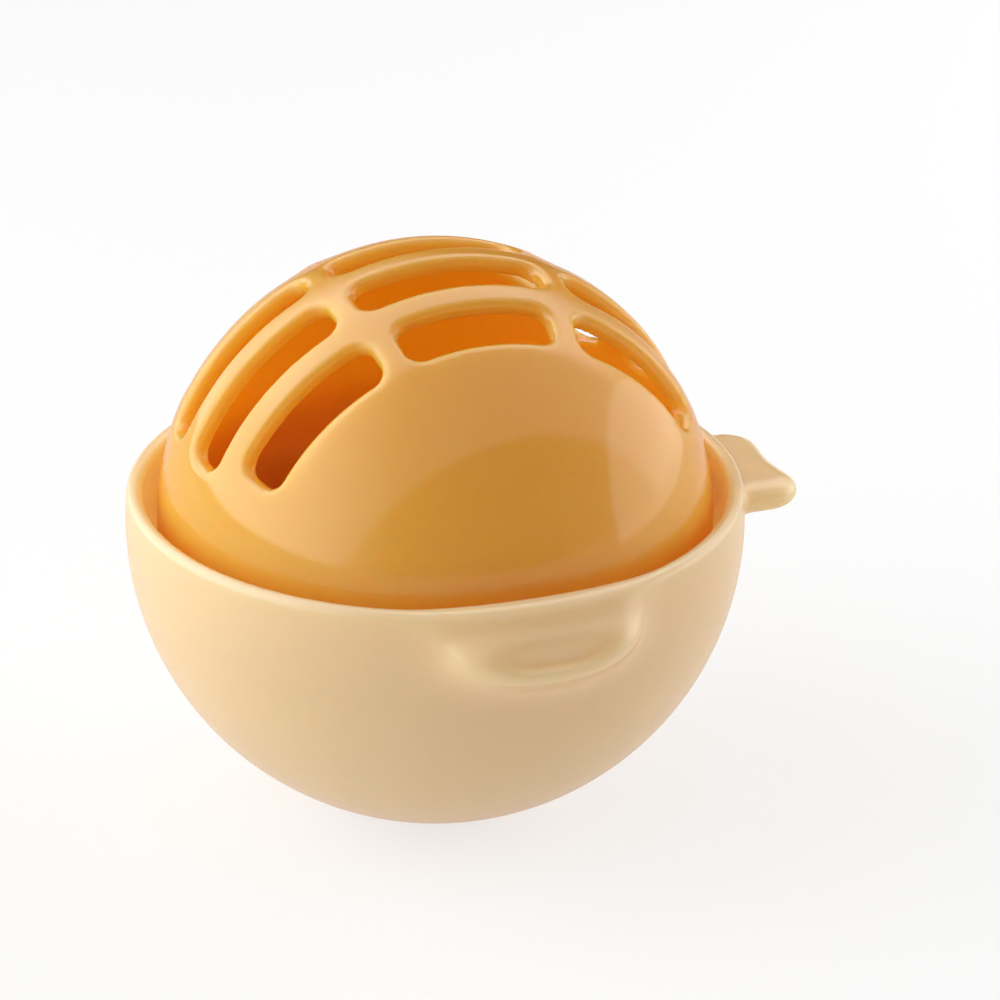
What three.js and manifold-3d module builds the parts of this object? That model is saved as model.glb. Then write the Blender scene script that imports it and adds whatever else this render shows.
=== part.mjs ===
// A lint catcher ball for the wash: a vented hollow ball that sits in an open bowl with a tail and two side fins.
// Sizes are in millimetres and angles in degrees. The origin is the middle of the foot, +Z is up,
// the tail points along +X and the fins stand out along +Y and -Y.
import * as THREE from 'three';
import { mergeVertices } from 'three/addons/utils/BufferGeometryUtils.js';
import Module from 'manifold-3d';

// The bowl
const bowlRadius = 41.7;
const bowlWall = 2.2;
const footRadius = 9;
const rimHeight = 5.6; // top of the rim above the middle of the ball

// The ribs inside the bowl that carry the ball
const seatRibBars = 3; // each makes a rib on both sides
const seatRibWidth = 2.4;
const seatRibBottom = 15; // angle from straight down
const seatRibTop = 68;

// The tail
const tailReach = 8.8; // beyond the bowl's outside
const tailWidth = 21.6;
const tailThickness = 4.2;
const tailFlat = 0.3; // upright strip left round the rounded edge
const tailEdge = 3.2; // how far in from the edge the rounding runs
const tailCorner = 4.8;
const tailNotchDepth = 0.7;
const tailNotchWidth = 10;
const tailDrop = 0.55; // below the middle of the ball

// The side fins
const finLength = 24.4;
const finDepth = 10.6; // from its root inside the wall to its tip
const finThickness = 5.8;
const finLean = 20; // how far the tip hangs below the level
const finInset = 0.2; // its middle inside the bowl's outside
const finLift = 0.5; // its middle above the middle of the ball
const dishLength = 17;
const dishWidth = 2.6;
const dishHeight = 3.6;
const dishReach = 3.9; // the dish's middle beyond the bowl's outside
const dishLift = 0.9; // and above the middle of the ball

// The hollow ball, made of a dome over a cup
const waterGap = 2; // all round, between the ball and the bowl
const ballWall = 2.2;
const seamDrop = 4; // below the middle of the ball
const lapHeight = 4; // how far the dome's lip reaches into the cup
const fitGap = 0.3; // between pieces that touch

// The slots in the dome, in rows across and columns fore and aft
const slotRowPitch = 17.1;
const slotRowBar = 4.56; // material left between neighbouring rows
const slotEndBar = 3.6; // and between the ends of slots in a row
const slotCorner = 2.4;
const slotLip = 1.1; // radius of the rounded outer edge
const innerRowMiddle = 20.5; // half the sweep of the middle slot
const innerRowEnd = 66.5; // far end of the side slots
const outerRowMiddle = 17.8;
const outerRowEnd = 61.5;

// The drains in the cup
const drainCount = 6;
const drainWidth = 3.2;
const drainBottom = 17; // angle from straight down
const drainTop = 46;
const drainHoleRadius = 4.5;

// The lint screen across the cup
const screenDrop = 15; // top of the frame below the middle of the ball
const screenHeight = 2.8;
const screenRingWidth = 3.4;
const spokeBars = 3; // each runs right across
const spokeWidth = 2;
const spokeHeight = 1.5;
const knobRadius = 4;
const knobNeckRadius = 2.4;
const knobCrownRadius = 3.2;
const knobHeight = 6; // above the frame's top
const netThickness = 0.8;
const netPitch = 8.6;
const netStrand = 1.4;

// Fineness of the curved faces
const turnSteps = 40;
const arcSteps = 9;
const ballRows = 20;
const eggSteps = 16;
const eggRows = 10;
const holeSteps = 24;

// How far cutters run on beyond the wall that they cut, and how far joined pieces stay off the bowl's inner face
const cutterReach = 6;
const rootInset = 0.4;

const ballMiddle = Math.sqrt(bowlRadius ** 2 - footRadius ** 2);
const bowlInside = bowlRadius - bowlWall;
const ballRadius = bowlInside - waterGap;
const ballInside = ballRadius - ballWall;

const wasm = await Module();
wasm.setup();

// A closed geometry as a solid that can be joined and cut, with its faces turned outward.
function solid(geometry) {
  const bare = geometry.clone();
  bare.deleteAttribute('normal');
  bare.deleteAttribute('uv');
  const welded = mergeVertices(bare, 1e-4);
  const points = welded.attributes.position;
  const corners = [];
  const [a, b, c] = [new THREE.Vector3(), new THREE.Vector3(), new THREE.Vector3()];
  let volume = 0;
  for (let i = 0; i < welded.index.count; i += 3) {
    const triangle = [0, 1, 2].map((k) => welded.index.getX(i + k));
    if (new Set(triangle).size === 3) {
      corners.push(triangle);
      a.fromBufferAttribute(points, triangle[0]);
      b.fromBufferAttribute(points, triangle[1]);
      c.fromBufferAttribute(points, triangle[2]);
      volume += a.dot(b.cross(c));
    }
  }
  const outward = volume > 0 ? corners : corners.map((triangle) => triangle.reverse());
  return new wasm.Manifold(new wasm.Mesh({
    numProp: 3,
    vertProperties: new Float32Array(points.array),
    triVerts: new Uint32Array(outward.flat()),
  }));
}

// A finished solid as a named mesh.
function piece(name, body, material) {
  const surface = body.getMesh();
  const geometry = new THREE.BufferGeometry();
  geometry.setAttribute('position', new THREE.BufferAttribute(surface.vertProperties, 3));
  geometry.setIndex(new THREE.BufferAttribute(surface.triVerts, 1));
  geometry.computeVertexNormals();
  const mesh = new THREE.Mesh(geometry, material);
  mesh.name = name;
  return mesh;
}

// A profile of [radius, height] points turned about the upright axis.
function turned(profile) {
  const points = profile.map(([radius, height]) => new THREE.Vector2(radius, height));
  return solid(new THREE.LatheGeometry(points, turnSteps).rotateX(Math.PI / 2));
}

// Profile points on a circle about the middle of the ball, from one angle to another above the level.
function arc(radius, from, to, steps = arcSteps) {
  const points = [];
  for (let i = 0; i <= steps; i += 1) {
    const angle = THREE.MathUtils.degToRad(from + (to - from) * i / steps);
    const flat = Math.abs(Math.cos(angle)) < 1e-9 ? 0 : Math.cos(angle);
    points.push([radius * flat, ballMiddle + radius * Math.sin(angle)]);
  }
  return points;
}

// The angle above the level at which a circle about the middle of the ball has a given height.
function angleAt(radius, height) {
  return THREE.MathUtils.radToDeg(Math.asin(height / radius));
}

function box(sizeX, sizeY, sizeZ, centreZ) {
  return new THREE.BoxGeometry(sizeX, sizeY, sizeZ).translate(0, 0, centreZ);
}

// Bars through the upright axis, spread evenly, as one star-shaped solid.
function star(bars, length, width, height, centreZ) {
  let all = null;
  for (let i = 0; i < bars; i += 1) {
    const turn = Math.PI * (i + 0.5) / bars;
    const bar = solid(box(length, width, height, centreZ).rotateZ(turn));
    all = all ? all.add(bar) : bar;
  }
  return all;
}

// A closed skin over rings that have the same number of points, with a flat fan over each end.
function loft(rings) {
  const count = rings[0].length;
  const corners = [];
  for (let ring = 0; ring + 1 < rings.length; ring += 1) {
    for (let i = 0; i < count; i += 1) {
      const next = (i + 1) % count;
      const low = ring * count;
      const high = low + count;
      corners.push(low + i, low + next, high + next, low + i, high + next, high + i);
    }
  }
  const top = (rings.length - 1) * count;
  for (let i = 1; i + 1 < count; i += 1) {
    corners.push(0, i + 1, i, top, top + i, top + i + 1);
  }
  const geometry = new THREE.BufferGeometry();
  geometry.setAttribute('position', new THREE.Float32BufferAttribute(rings.flat(2), 3));
  geometry.setIndex(corners);
  return geometry;
}

// A cutter for a slot with rounded corners in the ball's wall. It runs along a circle about the Y axis, from one
// angle to another off straight up, and opens out over a rounded lip at the outside.
function slotCutter(from, to, latitude, width, corner, lip) {
  const middle = THREE.MathUtils.degToRad((from + to) / 2);
  const side = THREE.MathUtils.degToRad(latitude);
  const sweep = THREE.MathUtils.degToRad(to - from) / 2;
  const cornerSteps = 2;
  const sideSteps = 3;
  const stretch = 1 / Math.cos(side); // a circle off the middle is shorter, so the same length takes more angle
  const ringAt = (radius, growth) => {
    const bend = (corner + growth) / ballRadius;
    const straight = sweep - corner / ballRadius * stretch;
    const upright = (width / 2 - corner) / ballRadius;
    const outline = [];
    for (const end of [1, -1]) {
      for (const half of [-1, 1]) {
        for (let i = 0; i <= cornerSteps; i += 1) {
          const turn = Math.PI / 2 * (i / cornerSteps + (half - 1) / 2);
          const u = straight + bend * stretch * Math.cos(turn);
          const v = half * upright + bend * Math.sin(turn);
          outline.push([end * u, end * v]);
        }
      }
      for (let i = 1; i < sideSteps; i += 1) {
        outline.push([end * straight * (1 - 2 * i / sideSteps), end * (upright + bend)]);
      }
    }
    return outline.map(([u, v]) => [
      radius * Math.cos(side + v) * Math.sin(middle + u),
      radius * Math.sin(side + v),
      ballMiddle + radius * Math.cos(side + v) * Math.cos(middle + u),
    ]);
  };
  const rings = [ringAt(ballInside - cutterReach, 0), ringAt(ballRadius - lip, 0)];
  const lipSteps = lip > 0 ? 2 : 0;
  const facetClear = 1.04; // lifts the last ring of the lip just over the ball's flat facets
  for (let i = 1; i <= lipSteps; i += 1) {
    const turn = Math.PI / 2 * i / lipSteps;
    rings.push(ringAt(ballRadius - lip + facetClear * lip * Math.sin(turn), lip * (1 - Math.cos(turn))));
  }
  rings.push(ringAt(ballRadius + cutterReach, lip));
  return solid(loft(rings));
}

// A flat plate with rounded corners, a pillow edge and a shallow notch in its far end.
function tail() {
  const root = bowlInside - 2 * tailEdge;
  const half = tailWidth / 2;
  const tip = bowlRadius + tailReach;
  const notch = Math.min(tailNotchWidth / 2, half - tailCorner);
  const shape = new THREE.Shape();
  shape.moveTo(root, -half);
  shape.lineTo(tip - tailCorner, -half);
  shape.absarc(tip - tailCorner, tailCorner - half, tailCorner, -Math.PI / 2, 0);
  shape.lineTo(tip, -notch);
  shape.bezierCurveTo(tip, -notch / 2, tip - tailNotchDepth, -notch / 2, tip - tailNotchDepth, 0);
  shape.bezierCurveTo(tip - tailNotchDepth, notch / 2, tip, notch / 2, tip, notch);
  shape.lineTo(tip, half - tailCorner);
  shape.absarc(tip - tailCorner, half - tailCorner, tailCorner, 0, Math.PI / 2);
  shape.lineTo(root, half);
  shape.closePath();
  const plate = new THREE.ExtrudeGeometry(shape, {
    depth: tailFlat,
    bevelThickness: (tailThickness - tailFlat) / 2,
    bevelSize: tailEdge,
    bevelOffset: -tailEdge,
    bevelSegments: 3,
    curveSegments: 5,
  });
  return solid(plate.translate(0, 0, ballMiddle - tailDrop - tailFlat / 2));
}

// A ball stretched to three sizes, turned about the X axis and set at a distance out and up.
function egg(length, depth, height, lean, out, up) {
  const geometry = new THREE.SphereGeometry(0.5, eggSteps, eggRows);
  geometry.scale(length, depth, height);
  geometry.rotateX(-THREE.MathUtils.degToRad(lean));
  return solid(geometry.translate(0, out, up));
}

// One fin on the +Y side: a leaning pad with a dish behind its lip.
function fin() {
  const pad = egg(finLength, finDepth, finThickness, finLean, bowlRadius - finInset, ballMiddle + finLift);
  const dish = egg(dishLength, dishWidth, dishHeight, 0, bowlRadius + dishReach, ballMiddle + dishLift);
  return pad.subtract(dish);
}

function bowl() {
  const rimMiddle = bowlRadius - bowlWall / 2;
  const rimAngle = angleAt(rimMiddle, rimHeight - bowlWall / 2);
  const rimTurn = THREE.MathUtils.degToRad(rimAngle);
  const rim = [];
  const rimSteps = 5;
  for (let i = 1; i < rimSteps; i += 1) {
    const turn = rimTurn + Math.PI * i / rimSteps;
    rim.push([
      rimMiddle * Math.cos(rimTurn) + bowlWall / 2 * Math.cos(turn),
      ballMiddle + rimMiddle * Math.sin(rimTurn) + bowlWall / 2 * Math.sin(turn),
    ]);
  }
  const footAngle = -angleAt(bowlRadius, ballMiddle);
  const shell = turned([
    [0, 0],
    ...arc(bowlRadius, footAngle, 0),
    ...arc(bowlRadius, 0, rimAngle, 1).slice(1),
    ...rim,
    ...arc(bowlInside, rimAngle, -90),
  ]);
  const clear = bowlInside + rootInset;
  const hollow = solid(new THREE.SphereGeometry(clear, turnSteps, ballRows).translate(0, 0, ballMiddle));
  const finLeft = fin();
  const finRight = finLeft.mirror([0, 1, 0]);
  const outside = tail().add(finLeft).add(finRight).subtract(hollow);
  const band = turned([
    ...arc(ballRadius + fitGap, seatRibBottom - 90, seatRibTop - 90),
    ...arc(bowlInside + bowlWall / 2, seatRibTop - 90, seatRibBottom - 90),
    ...arc(ballRadius + fitGap, seatRibBottom - 90, seatRibTop - 90).slice(0, 1),
  ]);
  const ribs = band.intersect(star(seatRibBars, 2 * bowlRadius, seatRibWidth, 2 * bowlRadius, ballMiddle));
  return shell.add(outside).add(ribs);
}

function dome() {
  const seam = -seamDrop;
  const lipEnd = seam - lapHeight;
  const lipRadius = (ballRadius + ballInside - fitGap) / 2;
  let body = turned([
    ...arc(ballRadius, 90, 0),
    ...arc(ballRadius, 0, angleAt(ballRadius, seam), 1).slice(1),
    ...arc(lipRadius, angleAt(lipRadius, seam), angleAt(lipRadius, lipEnd), 2),
    ...arc(ballInside, angleAt(ballInside, lipEnd), 90),
  ]);
  const width = THREE.MathUtils.degToRad(slotRowPitch) * ballRadius - slotRowBar;
  for (const row of [-1.5, -0.5, 0.5, 1.5]) {
    const inner = Math.abs(row) < 1;
    const latitude = row * slotRowPitch;
    const middle = inner ? innerRowMiddle : outerRowMiddle;
    const end = inner ? innerRowEnd : outerRowEnd;
    const ringRadius = ballRadius * Math.cos(THREE.MathUtils.degToRad(latitude));
    const start = middle + THREE.MathUtils.radToDeg(slotEndBar / ringRadius);
    body = body.subtract(slotCutter(-middle, middle, latitude, width, slotCorner, slotLip));
    body = body.subtract(slotCutter(start, end, latitude, width, slotCorner, slotLip));
    body = body.subtract(slotCutter(-end, -start, latitude, width, slotCorner, slotLip));
  }
  return body;
}

function cup() {
  const seam = -seamDrop - fitGap;
  const step = seam - lapHeight;
  const lapRadius = (ballRadius + ballInside + fitGap) / 2;
  let body = turned([
    ...arc(ballRadius, -90, angleAt(ballRadius, seam)),
    ...arc(lapRadius, angleAt(lapRadius, seam), angleAt(lapRadius, step), 2),
    ...arc(ballInside, angleAt(ballInside, step), -90),
  ]);
  const hole = new THREE.CylinderGeometry(drainHoleRadius, drainHoleRadius, 4 * ballWall, holeSteps);
  body = body.subtract(solid(hole.rotateX(Math.PI / 2).translate(0, 0, ballMiddle - ballRadius)));
  const drain = slotCutter(180 - drainTop, 180 - drainBottom, 0, drainWidth, drainWidth / 2, 0);
  for (let i = 0; i < drainCount; i += 1) {
    body = body.subtract(drain.rotate([0, 0, 360 * i / drainCount]));
  }
  return body;
}

const screenTop = ballMiddle - screenDrop;
const screenBottom = screenTop - screenHeight;
const screenEdge = ballInside - fitGap;
const screenOpening = Math.sqrt(screenEdge ** 2 - (screenDrop + screenHeight) ** 2) - screenRingWidth;

// A ring that rests in the narrowing cup, with spokes and a knob to lift it by.
function screenFrame() {
  const ring = turned([
    [Math.sqrt(screenEdge ** 2 - screenDrop ** 2), screenTop],
    [screenOpening, screenTop],
    [screenOpening, screenBottom],
    [Math.sqrt(screenEdge ** 2 - (screenDrop + screenHeight) ** 2), screenBottom],
    [Math.sqrt(screenEdge ** 2 - screenDrop ** 2), screenTop],
  ]);
  const spokeLength = 2 * screenOpening + screenRingWidth;
  const spokes = star(spokeBars, spokeLength, spokeWidth, spokeHeight, screenTop - spokeHeight / 2);
  const neckLevel = 0.35; // shares of the knob's height
  const headLevel = 0.7;
  const crownLevel = 0.92;
  const knob = turned([
    [0, screenTop - spokeHeight],
    [knobRadius, screenTop - spokeHeight],
    [knobNeckRadius, screenTop + knobHeight * neckLevel],
    [knobRadius, screenTop + knobHeight * headLevel],
    [(knobRadius + knobCrownRadius) / 2, screenTop + knobHeight * crownLevel],
    [knobCrownRadius, screenTop + knobHeight],
    [0, screenTop + knobHeight],
  ]);
  return ring.add(spokes).add(knob);
}

// The net under the spokes: crossed strands inside a hem.
function screenNet() {
  const radius = screenOpening - fitGap;
  const level = screenTop - spokeHeight - fitGap - netThickness / 2;
  const disc = solid(new THREE.CylinderGeometry(radius, radius, netThickness, turnSteps)
    .rotateX(Math.PI / 2)
    .translate(0, 0, level));
  const hemInside = radius - netStrand;
  const middle = solid(new THREE.CylinderGeometry(hemInside, hemInside, 2 * netThickness, turnSteps)
    .rotateX(Math.PI / 2)
    .translate(0, 0, level));
  let net = disc.subtract(middle);
  const across = Math.floor(hemInside / netPitch);
  for (let i = -across; i <= across; i += 1) {
    const strand = solid(box(2 * radius, netStrand, netThickness, level).translate(0, i * netPitch, 0));
    net = net.add(strand.intersect(disc));
    net = net.add(strand.rotate([0, 0, 90]).intersect(disc));
  }
  return net;
}

const creamPlastic = new THREE.MeshStandardMaterial({ color: 0xead9ba, roughness: 0.28, metalness: 0 });
const yellowPlastic = new THREE.MeshStandardMaterial({ color: 0xf2b553, roughness: 0.24, metalness: 0 });
const whitePlastic = new THREE.MeshStandardMaterial({ color: 0xf1ede4, roughness: 0.4, metalness: 0 });
const whiteNet = new THREE.MeshStandardMaterial({ color: 0xf6f4ee, roughness: 0.7, metalness: 0 });

const catcher = new THREE.Group();
catcher.name = 'lint_catcher_ball';
catcher.add(piece('base_bowl', bowl(), creamPlastic));
catcher.add(piece('vent_dome', dome(), yellowPlastic));
catcher.add(piece('strainer_cup', cup(), yellowPlastic));
catcher.add(piece('screen_frame', screenFrame(), whitePlastic));
catcher.add(piece('screen_net', screenNet(), whiteNet));

export default catcher;
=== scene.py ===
"""Looks for a lint catcher ball: a slotted yellow ball in a cream bowl with a tail and two side fins.

Each rigid piece is written as a distance field in millimetres about the middle of the ball and skinned
with a fine mesh, so that its edges and joins are rounded as moulded plastic is. The lint net is woven
strand by strand.
"""
import itertools
import math

import bpy
import numpy as np
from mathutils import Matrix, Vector


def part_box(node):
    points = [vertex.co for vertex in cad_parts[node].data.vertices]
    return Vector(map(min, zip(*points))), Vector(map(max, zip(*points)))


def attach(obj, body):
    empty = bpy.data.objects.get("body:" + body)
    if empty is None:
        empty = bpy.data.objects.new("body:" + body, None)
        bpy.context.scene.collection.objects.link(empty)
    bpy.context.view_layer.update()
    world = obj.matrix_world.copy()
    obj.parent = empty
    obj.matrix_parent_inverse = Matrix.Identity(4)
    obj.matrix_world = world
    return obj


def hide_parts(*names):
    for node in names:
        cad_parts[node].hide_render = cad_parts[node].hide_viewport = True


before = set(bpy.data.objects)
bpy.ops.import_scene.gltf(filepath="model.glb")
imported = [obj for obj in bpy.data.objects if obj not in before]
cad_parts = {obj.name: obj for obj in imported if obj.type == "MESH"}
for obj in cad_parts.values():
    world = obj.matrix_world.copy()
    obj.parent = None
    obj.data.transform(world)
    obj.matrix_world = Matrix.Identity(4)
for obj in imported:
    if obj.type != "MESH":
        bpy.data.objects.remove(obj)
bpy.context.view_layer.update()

MM = 0.001

# Sizes in millimetres and angles in degrees, close to the CAD part's
BALL_RADIUS = 37.5
BALL_WALL = 2.2
BALL_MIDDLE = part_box("vent_dome")[1][2] / MM - BALL_RADIUS
BOWL_RADIUS = 41.7
BOWL_WALL = 2.2
RIM_HEIGHT = 5.6
SEAM_DROP = 4.0
LAP_HEIGHT = 4.0
LAP_ROOT = 1.0
LAP_EDGE = 0.2
SEAM_EDGE = 0.25
REBATE_EDGE = 0.1
FOOT_EDGE = 0.5
FIT_GAP = 0.3

SLOT_ROW_PITCH = 17.1
SLOT_ROW_BAR, SLOT_END_BAR = 4.56, 3.6
SLOT_CORNER = 2.4
SLOT_OUTER_EDGE, SLOT_INNER_EDGE = 1.15, 0.35
INNER_ROW_MIDDLE, INNER_ROW_END = 20.5, 66.5
OUTER_ROW_MIDDLE, OUTER_ROW_END = 17.8, 61.5

TAIL_REACH = 8.8
TAIL_WIDTH = 21.6
TAIL_THICKNESS = 4.2
TAIL_EDGE = 3.2
TAIL_CORNER = 4.8
TAIL_DROP = 0.55
TAIL_ROOT = 0.9
TAIL_BLEND = 2.0
NOTCH_RADIUS = 5.0
NOTCH_CLEAR = 0.7
NOTCH_BLEND = 4.0

FIN_LENGTH = 23.8
FIN_DEPTH = 10.2
FIN_TOP, FIN_UNDER = 3.0, 5.0
FIN_LEAN = 16.0
FIN_OUT = -0.2
FIN_LIFT = 0.4
FIN_BLEND = 4.0
FIN_SLOPE = 0.6
DISH_DEPTH = 1.9
DISH_RING = 0.75
DISH_INNER, DISH_OUTER = 0.9, 1.5
DISH_HALF_LENGTH = 6.9

SEAT_RIB_WIDTH = 2.4
SEAT_RIB_BOTTOM, SEAT_RIB_TOP = 15.0, 68.0
SEAT_RIB_ROOT = 0.8
SEAT_RIB_EDGE = 0.5
SEAT_RIB_BLEND = 0.6

DRAIN_COUNT = 6
DRAIN_WIDTH = 3.2
DRAIN_BOTTOM, DRAIN_TOP = 17.0, 46.0
DRAIN_HOLE_RADIUS = 4.5
DRAIN_EDGE = 0.4

SCREEN_DROP = 15.0
SCREEN_HEIGHT = 2.8
SCREEN_RING_WIDTH = 3.4
SCREEN_RING_EDGE = 0.4
SPOKE_WIDTH, SPOKE_HEIGHT = 2.0, 1.5
SPOKE_EDGE = 0.35
SPOKE_BLEND = 0.6
KNOB_RADIUS, KNOB_HEIGHT = 4.0, 6.0
KNOB_WAIST, KNOB_WIDEST, KNOB_WAVES = 0.28, 0.85, 1.9
KNOB_SLOPE = 0.8
KNOB_EDGE = 0.8
KNOB_BLEND = 0.8
NET_THICKNESS = 0.8
NET_PITCH = 1.3
NET_STRAND = 0.32
NET_WAVE = 0.16
NET_HEM_RADIUS = 0.336

# Bars across the middle, which make twice as many ribs in the bowl and spokes in the screen
BAR_COUNT = 3

# Mesh steps in millimetres: a thin lap needs a fine one
BOWL_STEP = 0.52
DOME_STEP = 0.47
CUP_STEP = 0.5
SCREEN_STEP = 0.5

BALL_INSIDE = BALL_RADIUS - BALL_WALL
BOWL_INSIDE = BOWL_RADIUS - BOWL_WALL
SCREEN_EDGE = BALL_INSIDE - FIT_GAP
SCREEN_OPENING = math.sqrt(SCREEN_EDGE ** 2 - (SCREEN_DROP + SCREEN_HEIGHT) ** 2) - SCREEN_RING_WIDTH

COARSE = 1.0
TINY = 1e-9


# Distance fields: negative inside, positive outside

def distance(x, y, z):
    """How far x, y, z is from the middle."""
    return np.sqrt(x * x + y * y + z * z)


def join(a, b, blend):
    """Two shapes joined with a soft fillet."""
    mix = np.clip(0.5 + 0.5 * (b - a) / blend, 0, 1)
    return b * (1 - mix) + a * mix - blend * mix * (1 - mix)


def common(a, b, edge):
    """What two shapes share, with its edges rounded to a radius."""
    corner = np.hypot(np.maximum(a + edge, 0), np.maximum(b + edge, 0))
    return np.minimum(np.maximum(a, b), -edge) + corner


def cut(a, b, edge):
    """One shape less another, with the cut's edges rounded to a radius."""
    return common(a, -b, edge)


def bars(x, y, width):
    """Straight bars across the middle, evenly turned."""
    turns = [math.pi * (i + 0.5) / BAR_COUNT for i in range(BAR_COUNT)]
    sides = [np.abs(y * math.cos(turn) - x * math.sin(turn)) for turn in turns]
    return np.minimum.reduce(sides) - width / 2


def slot_field(x, y, z, start, end, latitude, width, corner):
    """A slot with rounded corners along a circle about the Y axis, between two angles from straight up."""
    radius = distance(x, y, z) + TINY
    side = math.radians(latitude)
    sweep = math.radians(end - start) / 2
    ring = BALL_RADIUS * math.cos(side)
    turn = np.arctan2(x, z) - math.radians(start + end) / 2
    turn = (turn + math.pi) % (2 * math.pi) - math.pi
    along = np.abs(turn) * ring - (sweep * ring - corner)
    across = np.abs(np.arcsin(np.clip(y / radius, -1, 1)) - side) * BALL_RADIUS - (width / 2 - corner)
    inner = np.minimum(np.maximum(along, across), 0)
    return np.hypot(np.maximum(along, 0), np.maximum(across, 0)) + inner - corner


def dome_slots():
    """Start, end and latitude of each slot in the dome."""
    for row in (-1.5, -0.5, 0.5, 1.5):
        inner = abs(row) < 1
        latitude = row * SLOT_ROW_PITCH
        middle = INNER_ROW_MIDDLE if inner else OUTER_ROW_MIDDLE
        end = INNER_ROW_END if inner else OUTER_ROW_END
        bar = math.degrees(SLOT_END_BAR / (BALL_RADIUS * math.cos(math.radians(latitude))))
        yield -middle, middle, latitude
        yield middle + bar, end, latitude
        yield -end, -middle - bar, latitude


def dome(x, y, z):
    """The upper half of the ball, with its slots and the lap that goes into the lower half."""
    radius = distance(x, y, z)
    body = radius - BALL_RADIUS
    width = math.radians(SLOT_ROW_PITCH) * BALL_RADIUS - SLOT_ROW_BAR
    for start, end, latitude in dome_slots():
        body = cut(body, slot_field(x, y, z, start, end, latitude, width, SLOT_CORNER), SLOT_OUTER_EDGE)
    body = common(body, -SEAM_DROP - z, SEAM_EDGE)
    lap_radius = (BALL_RADIUS + BALL_INSIDE - FIT_GAP) / 2
    lap = common(radius - lap_radius, -SEAM_DROP - LAP_HEIGHT - z, LAP_EDGE)
    body = np.minimum(body, np.maximum(lap, z + SEAM_DROP - LAP_ROOT))
    return common(body, BALL_INSIDE - radius, SLOT_INNER_EDGE)


def cup(x, y, z):
    """The lower half of the ball, with a rebate for the lap, a drain hole and drain slots."""
    radius = distance(x, y, z)
    shell = np.abs(radius - (BALL_RADIUS + BALL_INSIDE) / 2) - BALL_WALL / 2
    seam = -SEAM_DROP - FIT_GAP
    body = common(shell, z - seam, LAP_EDGE)
    lap_radius = (BALL_RADIUS + BALL_INSIDE + FIT_GAP) / 2
    rebate = np.maximum(radius - lap_radius, seam - LAP_HEIGHT - z)
    body = cut(body, rebate, REBATE_EDGE)
    body = cut(body, np.maximum(np.hypot(x, y) - DRAIN_HOLE_RADIUS, z), DRAIN_EDGE)
    ends = 180 - DRAIN_TOP, 180 - DRAIN_BOTTOM
    for i in range(DRAIN_COUNT):
        turn = 2 * math.pi * i / DRAIN_COUNT
        out = x * math.cos(turn) + y * math.sin(turn)
        side = y * math.cos(turn) - x * math.sin(turn)
        drain = slot_field(out, side, z, *ends, 0, DRAIN_WIDTH, DRAIN_WIDTH / 2)
        body = cut(body, drain, DRAIN_EDGE)
    return body


def tail(x, y, z):
    """A flat plate with a pillow edge, rounded corners and a shallow notch."""
    tip = BOWL_RADIUS + TAIL_REACH
    ahead = x - (tip - TAIL_CORNER)
    aside = np.abs(y) - (TAIL_WIDTH / 2 - TAIL_CORNER)
    inner = np.minimum(np.maximum(ahead, aside), 0)
    outline = np.hypot(np.maximum(ahead, 0), np.maximum(aside, 0)) + inner
    notch = np.hypot(x - (tip + NOTCH_CLEAR + NOTCH_RADIUS), y) - NOTCH_RADIUS
    outline = -join(TAIL_CORNER - outline, notch, NOTCH_BLEND)
    out = np.maximum(outline + TAIL_EDGE, 0) / TAIL_EDGE
    rise = (z + TAIL_DROP) / (TAIL_THICKNESS / 2)
    near = np.hypot(out, rise) + TINY
    slope = np.hypot(out / TAIL_EDGE, rise / (TAIL_THICKNESS / 2)) + TINY
    return np.maximum(near * (near - 1) / slope, BOWL_INSIDE + TAIL_ROOT - x)


def ellipsoid(x, y, z, along, across, over):
    """An egg by its three half lengths."""
    near = distance(x / along, y / across, z / over) + TINY
    slope = distance(x / along ** 2, y / across ** 2, z / over ** 2) + TINY
    return near * (near - 1) / slope


def fin(x, y, z):
    """The fin on the side of positive y: a leaning pad, with a soft dish behind its lip."""
    lean = math.radians(FIN_LEAN)
    away = y - BOWL_RADIUS - FIN_OUT
    rise = z - FIN_LIFT
    along = away * math.cos(lean) - rise * math.sin(lean)
    over = away * math.sin(lean) + rise * math.cos(lean)
    half_length, half_depth = FIN_LENGTH / 2, FIN_DEPTH / 2
    off = along - DISH_RING * half_depth * np.sqrt(np.maximum(1 - (x / half_length) ** 2, 0))
    dish = np.exp(-(x / DISH_HALF_LENGTH) ** 4 - (off / np.where(off < 0, DISH_INNER, DISH_OUTER)) ** 2)
    share = np.clip(over / FIN_TOP + 1, 0, 1)
    over = over + DISH_DEPTH * dish * share * share * (3 - 2 * share)
    half_height = np.where(over > 0, FIN_TOP, FIN_UNDER)
    return ellipsoid(x, along, over, half_length, half_depth, half_height) * FIN_SLOPE


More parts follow.
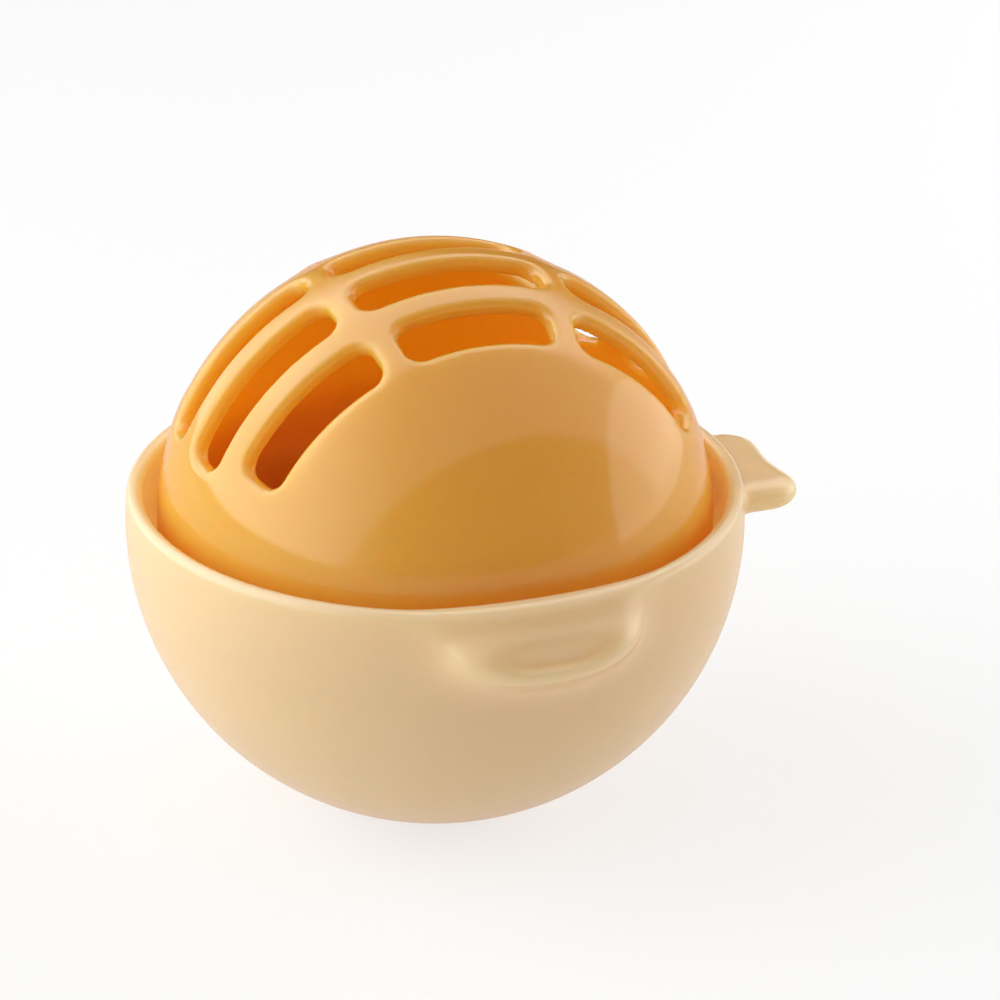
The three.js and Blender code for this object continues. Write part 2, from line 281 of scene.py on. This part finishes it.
def bowl(x, y, z):
    """The bowl with its round rim, flat foot, tail, two fins and the ribs that the ball sits on."""
    radius = distance(x, y, z)
    out = np.hypot(x, y)
    middle = BOWL_RADIUS - BOWL_WALL / 2
    rim_turn = math.asin((RIM_HEIGHT - BOWL_WALL / 2) / middle)
    rim_out, rim_up = middle * math.cos(rim_turn), middle * math.sin(rim_turn)
    below = np.arctan2(z, out) < rim_turn
    body = np.where(below, np.abs(radius - middle), np.hypot(out - rim_out, z - rim_up)) - BOWL_WALL / 2
    body = join(body, tail(x, y, z), TAIL_BLEND)
    body = join(body, fin(x, np.abs(y), z), FIN_BLEND)
    body = np.maximum(body, BOWL_INSIDE - radius)
    body = common(body, -BALL_MIDDLE - z, FOOT_EDGE)
    turn = np.degrees(np.arctan2(out, -z))
    ribs = common(bars(x, y, SEAT_RIB_WIDTH), BALL_RADIUS + FIT_GAP - radius, SEAT_RIB_EDGE)
    ends = np.maximum(SEAT_RIB_BOTTOM - turn, turn - SEAT_RIB_TOP) * math.radians(BOWL_INSIDE)
    ribs = np.maximum(common(ribs, ends, SEAT_RIB_EDGE), radius - BOWL_INSIDE - SEAT_RIB_ROOT)
    return join(body, ribs, SEAT_RIB_BLEND)


def knob(out, level):
    """The screen's waisted knob, by a point's distance from the axis and its level over the spokes."""
    wave = np.cos((level / KNOB_HEIGHT - KNOB_WIDEST) * math.pi * KNOB_WAVES)
    side = (out - KNOB_RADIUS * (1 - KNOB_WAIST + KNOB_WAIST * wave)) * KNOB_SLOPE
    middle, half = (KNOB_HEIGHT - SPOKE_HEIGHT) / 2, (KNOB_HEIGHT + SPOKE_HEIGHT) / 2
    return common(side, np.abs(level - middle) - half, KNOB_EDGE)


def screen_frame(x, y, z):
    """The ring, spokes and knob that carry the lint net."""
    out = np.hypot(x, y)
    level = z + SCREEN_DROP
    half = SCREEN_HEIGHT / 2
    ring = common(distance(x, y, z) - SCREEN_EDGE, SCREEN_OPENING - out, SCREEN_RING_EDGE)
    ring = common(ring, np.abs(level + half) - half, SCREEN_RING_EDGE)
    half = SPOKE_HEIGHT / 2
    spokes = common(bars(x, y, SPOKE_WIDTH), np.abs(level + half) - half, SPOKE_EDGE)
    spokes = np.maximum(spokes, out - SCREEN_OPENING - SCREEN_RING_WIDTH / 2)
    return join(join(ring, spokes, SPOKE_BLEND), knob(out, level), KNOB_BLEND)


# Skinning

def skin(name, field, low, high, step):
    """A mesh over a field's zero surface, with one point in each grid cell that the surface crosses."""
    step = step * COARSE
    axes = [np.arange(a - 2 * step, b + 3 * step, step) for a, b in zip(low, high)]
    grid = np.meshgrid(*axes, indexing="ij")
    value = field(*grid)
    inside = value < 0
    cells = tuple(n - 1 for n in value.shape)
    count = np.zeros(cells, dtype=np.int8)
    corners = list(itertools.product((0, 1), repeat=3))
    for corner in corners:
        count += inside[tuple(slice(c, c + n) for c, n in zip(corner, cells))]
    mixed = (count > 0) & (count < 8)
    number = np.full(cells, -1, dtype=np.int64)
    number[mixed] = np.arange(mixed.sum())
    base = np.argwhere(mixed)

    total = np.zeros((len(base), 3))
    hits = np.zeros(len(base))
    for axis in range(3):
        offset = np.eye(3, dtype=int)[axis]
        for corner in corners:
            if corner[axis]:
                continue
            first = base + corner
            second = first + offset
            a = value[tuple(first.T)]
            b = value[tuple(second.T)]
            crossing = (a < 0) != (b < 0)
            share = np.where(crossing, a / np.where(crossing, a - b, 1), 0)
            total += np.where(crossing[:, None], first + share[:, None] * offset, 0)
            hits += crossing
    points = total / hits[:, None] * step + np.array([a[0] for a in axes])

    nudge, least_slope, longest_move = 0.02, 0.25, 0.6 * step
    for _ in range(3):
        here = field(*points.T)
        slope = np.stack([
            (field(*(points + nudge * way).T) - field(*(points - nudge * way).T)) / (2 * nudge)
            for way in np.eye(3)
        ], axis=1)
        move = -here[:, None] * slope / np.maximum((slope ** 2).sum(axis=1), least_slope)[:, None]
        points += np.clip(move, -longest_move, longest_move)

    quads = []
    for axis in range(3):
        other = [k for k in range(3) if k != axis]
        ahead = np.roll(inside, -1, axis=axis)
        edge = inside != ahead
        edge[tuple(slice(-1, None) if k == axis else slice(None) for k in range(3))] = False
        for k in other:
            edge[tuple(slice(0, 1) if j == k else slice(None) for j in range(3))] = False
            edge[tuple(slice(-1, None) if j == k else slice(None) for j in range(3))] = False
        place = np.argwhere(edge)
        side_a, side_b = np.eye(3, dtype=int)[other[0]], np.eye(3, dtype=int)[other[1]]
        loop = [place - side_a - side_b, place - side_b, place, place - side_a]
        quad = np.stack([number[tuple(p.T)] for p in loop], axis=1)
        outward = inside[tuple(place.T)] != (axis == 1)
        quad[~outward] = quad[~outward][:, ::-1]
        quads.append(quad)
    points = points + np.array([0, 0, BALL_MIDDLE])
    return mesh_object(name, points * MM, np.concatenate(quads))


def mesh_object(name, points, faces):
    """A smooth object from points in metres and faces with an equal number of corners."""
    mesh = bpy.data.meshes.new(name)
    corners = faces.shape[1]
    mesh.vertices.add(len(points))
    mesh.vertices.foreach_set("co", points.astype(np.float32).ravel())
    mesh.loops.add(faces.size)
    mesh.loops.foreach_set("vertex_index", faces.astype(np.int32).ravel())
    mesh.polygons.add(len(faces))
    mesh.polygons.foreach_set("loop_start", np.arange(0, faces.size, corners, dtype=np.int32))
    mesh.update(calc_edges=True)
    mesh.validate()
    mesh.polygons.foreach_set("use_smooth", np.ones(len(mesh.polygons), dtype=bool))
    piece = bpy.data.objects.new(name, mesh)
    bpy.context.collection.objects.link(piece)
    return piece


def tube(path, radius, sides):
    """Points and faces of a tube along a path, open at both ends."""
    path = np.asarray(path, dtype=float)
    ahead = np.gradient(path, axis=0)
    ahead /= np.linalg.norm(ahead, axis=1)[:, None]
    across = np.cross(ahead, (0, 0, 1.0))
    across /= np.linalg.norm(across, axis=1)[:, None]
    over = np.cross(across, ahead)
    turn = np.arange(sides) * 2 * math.pi / sides
    rings = path[:, None] + radius * (np.cos(turn)[None, :, None] * across[:, None]
                                      + np.sin(turn)[None, :, None] * over[:, None])
    count = len(path)
    index = np.arange(count * sides).reshape(count, sides)
    step = np.roll(index, -1, axis=1)
    faces = np.stack([index[:-1], step[:-1], step[1:], index[1:]], axis=-1).reshape(-1, 4)
    return rings.reshape(-1, 3), faces


def woven_net(name):
    """Plain weave of round strands inside a hem."""
    radius = SCREEN_OPENING - FIT_GAP - NET_STRAND
    pitch = NET_PITCH * COARSE
    level = BALL_MIDDLE - SCREEN_DROP - SPOKE_HEIGHT - FIT_GAP - NET_THICKNESS / 2
    points, faces, used = [], [], 0
    lines = np.arange(-math.floor(radius / pitch), math.floor(radius / pitch) + 1)
    for direction in (0, 1):
        for line in lines:
            reach = math.sqrt(max(radius ** 2 - (line * pitch) ** 2, 0))
            if reach < pitch:
                continue
            along = np.arange(-reach, reach, pitch / 4)
            wave = NET_WAVE * np.cos(along / pitch * math.pi + math.pi * (line + direction))
            path = np.stack([along, np.full_like(along, line * pitch), level + wave], axis=1)
            if direction:
                path = path[:, [1, 0, 2]]
            ring, side = tube(path, NET_STRAND / 2, 4)
            points.append(ring)
            faces.append(side + used)
            used += len(ring)
    turn = np.linspace(0, 2 * math.pi, 129)
    hem = np.stack([radius * np.cos(turn), radius * np.sin(turn), np.full_like(turn, level)], axis=1)
    ring, side = tube(hem, NET_HEM_RADIUS, 8)
    points.append(ring)
    faces.append(side + used)
    return mesh_object(name, np.concatenate(points) * MM, np.concatenate(faces))


# Materials

def shader_links(name):
    """A new node material with its nodes, links and shader."""
    material = bpy.data.materials.new(name)
    material.use_nodes = True
    nodes = material.node_tree.nodes
    return material, nodes, material.node_tree.links, nodes["Principled BSDF"]


def moulded_plastic(name, light, deep, rough, reach, depth, through, through_tint):
    """Glossy moulded plastic: slight flow marks in the colour, uneven gloss, a faint ripple and some
    light that comes through."""
    material, nodes, links, shader = shader_links(name)
    place = nodes.new("ShaderNodeTexCoord")
    flow = nodes.new("ShaderNodeTexNoise")
    flow.inputs["Scale"].default_value = 38.0
    flow.inputs["Detail"].default_value = 3.0
    links.new(place.outputs["Object"], flow.inputs["Vector"])
    tint = nodes.new("ShaderNodeValToRGB")
    tint.color_ramp.elements[0].position = 0.3
    tint.color_ramp.elements[0].color = (*deep, 1)
    tint.color_ramp.elements[1].position = 0.7
    tint.color_ramp.elements[1].color = (*light, 1)
    links.new(flow.outputs["Fac"], tint.inputs["Fac"])
    links.new(tint.outputs["Color"], shader.inputs["Base Color"])
    grain = nodes.new("ShaderNodeTexNoise")
    grain.inputs["Scale"].default_value = 420.0
    grain.inputs["Detail"].default_value = 2.0
    links.new(place.outputs["Object"], grain.inputs["Vector"])
    gloss = nodes.new("ShaderNodeMapRange")
    gloss.inputs["To Min"].default_value = rough - 0.03
    gloss.inputs["To Max"].default_value = rough + 0.04
    links.new(grain.outputs["Fac"], gloss.inputs["Value"])
    links.new(gloss.outputs["Result"], shader.inputs["Roughness"])
    ripple = nodes.new("ShaderNodeBump")
    ripple.inputs["Strength"].default_value = 0.03
    ripple.inputs["Distance"].default_value = 0.0002
    links.new(grain.outputs["Fac"], ripple.inputs["Height"])
    links.new(ripple.outputs["Normal"], shader.inputs["Normal"])
    shader.inputs["IOR"].default_value = 1.6
    shader.inputs["Subsurface Weight"].default_value = 1.0
    shader.inputs["Subsurface Radius"].default_value = reach
    shader.inputs["Subsurface Scale"].default_value = depth
    thin = nodes.new("ShaderNodeBsdfTranslucent")
    thin.inputs["Color"].default_value = (*through_tint, 1)
    mix = nodes.new("ShaderNodeMixShader")
    mix.inputs[0].default_value = through
    links.new(shader.outputs[0], mix.inputs[1])
    links.new(thin.outputs[0], mix.inputs[2])
    links.new(mix.outputs[0], nodes["Material Output"].inputs["Surface"])
    return material


def net_fibre(name):
    """Matt white fibre of an uneven tint."""
    material, nodes, links, shader = shader_links(name)
    place = nodes.new("ShaderNodeTexCoord")
    fibre = nodes.new("ShaderNodeTexNoise")
    fibre.inputs["Scale"].default_value = 900.0
    links.new(place.outputs["Object"], fibre.inputs["Vector"])
    tint = nodes.new("ShaderNodeValToRGB")
    tint.color_ramp.elements[0].color = (0.72, 0.70, 0.64, 1)
    tint.color_ramp.elements[1].color = (0.90, 0.89, 0.85, 1)
    links.new(fibre.outputs["Fac"], tint.inputs["Fac"])
    links.new(tint.outputs["Color"], shader.inputs["Base Color"])
    shader.inputs["Roughness"].default_value = 0.55
    return material


def dress(piece, node, body, material):
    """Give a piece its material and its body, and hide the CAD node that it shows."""
    piece.data.materials.append(material)
    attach(piece, body)
    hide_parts(node)


cream = moulded_plastic(
    "cream_plastic", light=(0.94, 0.765, 0.47), deep=(0.93, 0.75, 0.455), rough=0.2,
    reach=(1.0, 0.88, 0.65), depth=0.004, through=0.32, through_tint=(1.0, 0.8, 0.48))
yellow = moulded_plastic(
    "yellow_plastic", light=(0.96, 0.59, 0.1), deep=(0.955, 0.575, 0.092), rough=0.1,
    reach=(1.0, 0.5, 0.1), depth=0.009, through=0.42, through_tint=(0.98, 0.56, 0.04))
white = moulded_plastic(
    "white_plastic", light=(0.82, 0.79, 0.72), deep=(0.78, 0.75, 0.68), rough=0.38,
    reach=(1.0, 0.9, 0.8), depth=0.003, through=0.2, through_tint=(0.9, 0.88, 0.82))
fibre = net_fibre("net_fibre")

half_width = BOWL_RADIUS + FIN_OUT + FIN_DEPTH / 2
bowl_low = (-BOWL_RADIUS, -half_width, -BALL_MIDDLE)
bowl_high = (BOWL_RADIUS + TAIL_REACH, half_width, RIM_HEIGHT)
bowl_piece = skin("bowl_shell", bowl, bowl_low, bowl_high, BOWL_STEP)
dress(bowl_piece, "base_bowl", "base", cream)

ball_low = (-BALL_RADIUS, -BALL_RADIUS, -SEAM_DROP - LAP_HEIGHT)
dome_piece = skin("dome_shell", dome, ball_low, (BALL_RADIUS, BALL_RADIUS, BALL_RADIUS), DOME_STEP)
dress(dome_piece, "vent_dome", "dome", yellow)

cup_low = (-BALL_RADIUS, -BALL_RADIUS, -BALL_RADIUS)
cup_piece = skin("cup_shell", cup, cup_low, (BALL_RADIUS, BALL_RADIUS, -SEAM_DROP), CUP_STEP)
dress(cup_piece, "strainer_cup", "cup", yellow)

screen_low = (-BALL_RADIUS, -BALL_RADIUS, -SCREEN_DROP - SCREEN_HEIGHT)
screen_high = (BALL_RADIUS, BALL_RADIUS, KNOB_HEIGHT - SCREEN_DROP)
frame_piece = skin("screen_ring", screen_frame, screen_low, screen_high, SCREEN_STEP)
dress(frame_piece, "screen_frame", "screen", white)

net_piece = woven_net("screen_weave")
dress(net_piece, "screen_net", "screen", fibre)


# Stage, light and camera

VIEW_AZIMUTH = math.radians(-19.4)
VIEW_ELEVATION = math.radians(25.0)
VIEW_DISTANCE = 0.420
IMAGE_SIZE = 1000.0
FOCAL_PIXELS = 3105.0
BALL_PIXEL = (435.1, 513.8)
FLOOR_REACH = 6.0
FLOOR_TONE = 0.93
FLOOR_OWN_WHITE = 0.7

to_camera = Vector((math.sin(VIEW_AZIMUTH) * math.cos(VIEW_ELEVATION),
                    -math.cos(VIEW_AZIMUTH) * math.cos(VIEW_ELEVATION),
                    math.sin(VIEW_ELEVATION)))
right = Vector((math.cos(VIEW_AZIMUTH), math.sin(VIEW_AZIMUTH), 0))
front = Vector((math.sin(VIEW_AZIMUTH), -math.cos(VIEW_AZIMUTH), 0))
up = Vector((0, 0, 1))
ball_middle = Vector((0, 0, BALL_MIDDLE * MM))


def heading(turn, rise):
    """A direction by its turn to the right of the camera's side and its rise above level, in degrees."""
    turn, rise = math.radians(turn), math.radians(rise)
    return math.cos(rise) * (math.cos(turn) * front + math.sin(turn) * right) + math.sin(rise) * up


def add_camera():
    """The photograph's camera, aimed at the ball and shifted so that the ball lies where it is seen."""
    data = bpy.data.cameras.new("camera")
    data.sensor_width = 36.0
    data.lens = FOCAL_PIXELS / IMAGE_SIZE * data.sensor_width
    data.shift_x = (IMAGE_SIZE / 2 - BALL_PIXEL[0]) / IMAGE_SIZE
    data.shift_y = (BALL_PIXEL[1] - IMAGE_SIZE / 2) / IMAGE_SIZE
    data.clip_start = 0.01
    camera = bpy.data.objects.new("camera", data)
    camera.location = ball_middle + VIEW_DISTANCE * to_camera
    camera.rotation_euler = (-to_camera).to_track_quat("-Z", "Y").to_euler()
    bpy.context.collection.objects.link(camera)
    bpy.context.scene.camera = camera


def add_floor():
    """A pale floor, which shows partly as plain white and keeps the object's shadow."""
    signs = [(-1, -1, 0), (1, -1, 0), (1, 1, 0), (-1, 1, 0)]
    points = FLOOR_REACH * np.array(signs)
    floor = mesh_object("floor", points, np.array([[0, 1, 2, 3]]))
    material, nodes, links, shader = shader_links("pale_floor")
    shader.inputs["Base Color"].default_value = (FLOOR_TONE, FLOOR_TONE, FLOOR_TONE, 1)
    shader.inputs["Roughness"].default_value = 0.9
    glow = nodes.new("ShaderNodeEmission")
    path = nodes.new("ShaderNodeLightPath")
    share = nodes.new("ShaderNodeMath")
    share.operation = "MULTIPLY"
    share.inputs[1].default_value = FLOOR_OWN_WHITE
    seen = nodes.new("ShaderNodeMath")
    seen.operation = "MAXIMUM"
    links.new(path.outputs["Is Glossy Ray"], seen.inputs[0])
    links.new(path.outputs["Is Transmission Ray"], seen.inputs[1])
    shown = nodes.new("ShaderNodeMath")
    shown.operation = "MAXIMUM"
    links.new(path.outputs["Is Camera Ray"], shown.inputs[0])
    links.new(seen.outputs[0], shown.inputs[1])
    links.new(shown.outputs[0], share.inputs[0])
    mix = nodes.new("ShaderNodeMixShader")
    links.new(share.outputs[0], mix.inputs[0])
    links.new(shader.outputs[0], mix.inputs[1])
    links.new(glow.outputs[0], mix.inputs[2])
    links.new(mix.outputs[0], nodes["Material Output"].inputs["Surface"])
    floor.data.materials.append(material)


def add_area(name, direction, far, size, power, mirrored):
    """A round lamp that faces the ball, which may be hidden from what mirrors it."""
    data = bpy.data.lights.new(name, "AREA")
    data.shape = "DISK"
    data.size = size
    data.energy = power
    lamp = bpy.data.objects.new(name, data)
    lamp.location = ball_middle + direction.normalized() * far
    lamp.rotation_euler = direction.to_track_quat("Z", "Y").to_euler()
    lamp.visible_glossy = mirrored
    bpy.context.collection.objects.link(lamp)


def add_soft_glow(name, direction, far, spreads, level):
    """Discs of light, one inside another, whose mirror image fades towards its edge."""
    for spread in spreads:
        size = 2 * far * math.tan(math.radians(spread))
        power = level * (math.pi * size / 2) ** 2
        add_area(name, direction, far, size, power, mirrored=True)


def add_world():
    """A white room: what lights the object is plain, and what the gloss mirrors has a bright left side, a
    bright ceiling behind and a dim round corner towards the camera. The camera sees plain white."""
    world = bpy.data.worlds.new("studio")
    bpy.context.scene.world = world
    world.use_nodes = True
    nodes, links = world.node_tree.nodes, world.node_tree.links
    background = nodes["Background"]
    background.inputs["Color"].default_value = (1, 1, 1, 1)
    place = nodes.new("ShaderNodeTexCoord")

    def zone(direction, start, end, low, high):
        """A level that goes from low to high as a ray turns towards a direction, by the cosine."""
        dot = nodes.new("ShaderNodeVectorMath")
        dot.operation = "DOT_PRODUCT"
        dot.inputs[1].default_value = direction.normalized()
        links.new(place.outputs["Generated"], dot.inputs[0])
        ramp = nodes.new("ShaderNodeMapRange")
        ramp.interpolation_type = "SMOOTHSTEP"
        ramp.inputs["From Min"].default_value = start
        ramp.inputs["From Max"].default_value = end
        ramp.inputs["To Min"].default_value = low
        ramp.inputs["To Max"].default_value = high
        links.new(dot.outputs["Value"], ramp.inputs["Value"])
        return ramp.outputs["Result"]

    def combine(operation, a, b):
        total = nodes.new("ShaderNodeMath")
        total.operation = operation
        links.new(a, total.inputs[0])
        links.new(b, total.inputs[1])
        return total.outputs[0]

    def scaled(value, share, fill):
        """A share of a value, over an even fill."""
        sized = nodes.new("ShaderNodeMath")
        sized.operation = "MULTIPLY_ADD"
        links.new(value, sized.inputs[0])
        sized.inputs[1].default_value = share
        sized.inputs[2].default_value = fill
        return sized.outputs[0]

    behind = zone(heading(-153, 0), start=-0.04, end=0.08, low=0.0, high=2.6)
    ceiling = zone(up, start=0.30, end=0.68, low=0.0, high=1.0)
    dim_corner = zone(heading(34, -23), start=0.295, end=0.34, low=1.25, high=0.22)
    low_back = zone(heading(180, 12), start=0.80, end=0.93, low=0.0, high=-1.2)
    left_glow = zone(heading(-92, 4), start=0.15, end=1.25, low=0.0, high=4.0)
    right_glow = zone(heading(110, 5), start=0.3, end=1.05, low=0.0, high=0.4)
    key = zone(heading(-60, 50), start=0.5, end=0.95, low=0.0, high=0.55)

    room = combine("ADD", combine("ADD", combine("MULTIPLY", behind, ceiling), dim_corner), low_back)
    mirrored = combine("ADD", combine("ADD", room, left_glow), right_glow)
    path = nodes.new("ShaderNodeLightPath")
    lit = nodes.new("ShaderNodeMix")
    links.new(path.outputs["Is Glossy Ray"], lit.inputs["Factor"])
    links.new(combine("ADD", scaled(room, share=0.08, fill=0.2), key), lit.inputs["A"])
    links.new(mirrored, lit.inputs["B"])
    seen = nodes.new("ShaderNodeMix")
    links.new(path.outputs["Is Camera Ray"], seen.inputs["Factor"])
    links.new(lit.outputs["Result"], seen.inputs["A"])
    seen.inputs["B"].default_value = 1.0
    links.new(seen.outputs["Result"], background.inputs["Strength"])


add_camera()
add_floor()
add_area("left_screen", heading(-88, 14), far=0.55, size=0.7, power=3.4, mirrored=False)
add_area("right_screen", heading(122, 6), far=0.6, size=0.62, power=2.0, mirrored=False)
add_soft_glow("right_glow", heading(104, 1), far=0.6, spreads=(9, 15, 21, 28), level=1.7)
add_world()

bpy.context.scene.view_settings.view_transform = "Standard"
bpy.context.scene.cycles.max_bounces = 24
bpy.context.scene.cycles.diffuse_bounces = 16


def corners(box):
    return [[float(v) for v in corner] for corner in box]
